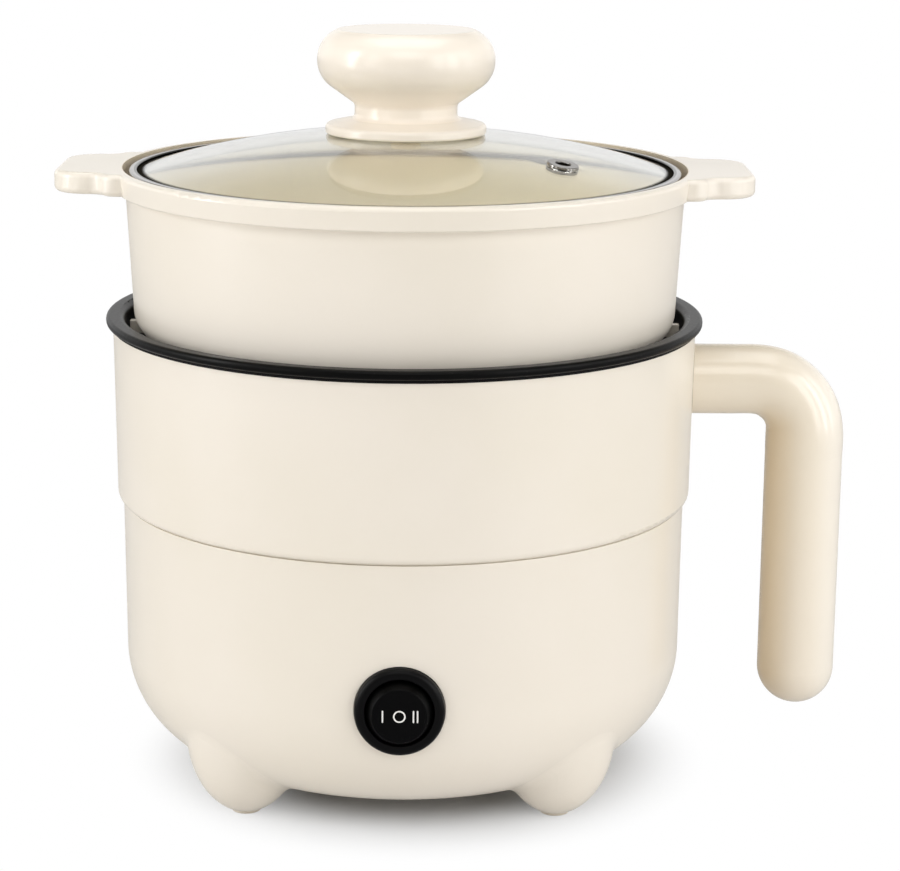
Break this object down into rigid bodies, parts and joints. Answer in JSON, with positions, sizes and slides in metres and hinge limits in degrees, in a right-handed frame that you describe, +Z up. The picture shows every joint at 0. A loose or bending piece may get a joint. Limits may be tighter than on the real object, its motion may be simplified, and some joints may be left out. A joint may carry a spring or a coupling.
{
  "type": "electric multi kettle",
  "caption": "Round electric cooking pot on four rounded feet, with an open L-shaped side handle, a round rocker switch, a steamer basket with two ears and a lift-off glass lid with a knob.",
  "frame": {"origin": "on the table under the body axis, in the plane of the four foot pads", "axes": "+Z up, -Y towards the switch, +X towards the handle, +Y towards the power inlet"},
  "size_m": [0.2329, 0.1763, 0.2228],
  "materials": {
    "shell_plastic": "smooth satin moulding",
    "cover_plastic": "fine grained moulding",
    "steamer_plastic": "satin moulding",
    "knob_plastic": "glossy moulding",
    "pot_coating": "matte non-stick coating",
    "silicone": "matte silicone",
    "foot_rubber": "soft matte pad",
    "cast_aluminium": "as cast",
    "element_steel": "oxidised tube",
    "shield_steel": "plain sheet",
    "sensor_metal": "pressed can",
    "fuse_case": "glazed case",
    "screw_steel": "plated",
    "switch_plastic": "polished black",
    "rocker_plastic": "satin black",
    "contact_brass": "plain",
    "inlet_plastic": "moulded black",
    "lid_glass": "clear tempered",
    "rim_steel": "polished band"
  },
  "bodies": {
    "kettle": {"base_cover": "cover_plastic", "bracket_screw_1": "screw_steel", "bracket_screw_2": "screw_steel", "foot_pad_1": "foot_rubber", "foot_pad_2": "foot_rubber", "foot_pad_3": "foot_rubber", "foot_pad_4": "foot_rubber", "handle_bracket": "shield_steel", "handle_front_half": "shell_plastic", "handle_rear_half": "shell_plastic", "handle_screw_1": "screw_steel", "handle_screw_2": "screw_steel", "heat_shield": "shield_steel", "heater_plate": "cast_aluminium", "heating_tube": "element_steel", "inlet_pin_earth": "contact_brass", "inlet_pin_live": "contact_brass", "inlet_pin_neutral": "contact_brass", "inner_pot": "pot_coating", "lower_shell": "shell_plastic", "power_inlet": "inlet_plastic", "rim_seal": "silicone", "switch_body": "switch_plastic", "switch_terminal_1": "contact_brass", "switch_terminal_2": "contact_brass", "switch_terminal_3": "contact_brass", "thermal_fuse": "fuse_case", "thermostat": "sensor_metal", "tie_screw_1": "screw_steel", "tie_screw_2": "screw_steel", "tie_screw_3": "screw_steel", "upper_shell": "shell_plastic"},
    "switch_rocker": {"rocker": "rocker_plastic"},
    "steamer_basket": {"steamer": "steamer_plastic"},
    "lid": {"lid_glass": "lid_glass", "lid_rim": "rim_steel", "knob": "knob_plastic", "knob_gasket": "silicone", "knob_washer": "screw_steel", "knob_screw": "screw_steel", "vent_eyelet": "rim_steel"}
  },
  "joints": [
    {"name": "rocker_tilt", "type": "hinge", "parent": "kettle", "child": "switch_rocker", "pos_m": [0, -0.08284, 0.04391], "axis": [0, 0, 1], "range_deg": [-11, 11]},
    {"name": "steamer_lift", "type": "slide", "parent": "kettle", "child": "steamer_basket", "axis": [0, 0, 1], "range_m": [0, 0.1]},
    {"name": "lid_lift", "type": "slide", "parent": "steamer_basket", "child": "lid", "axis": [0, 0, 1], "range_m": [0, 0.08]}
  ]
}
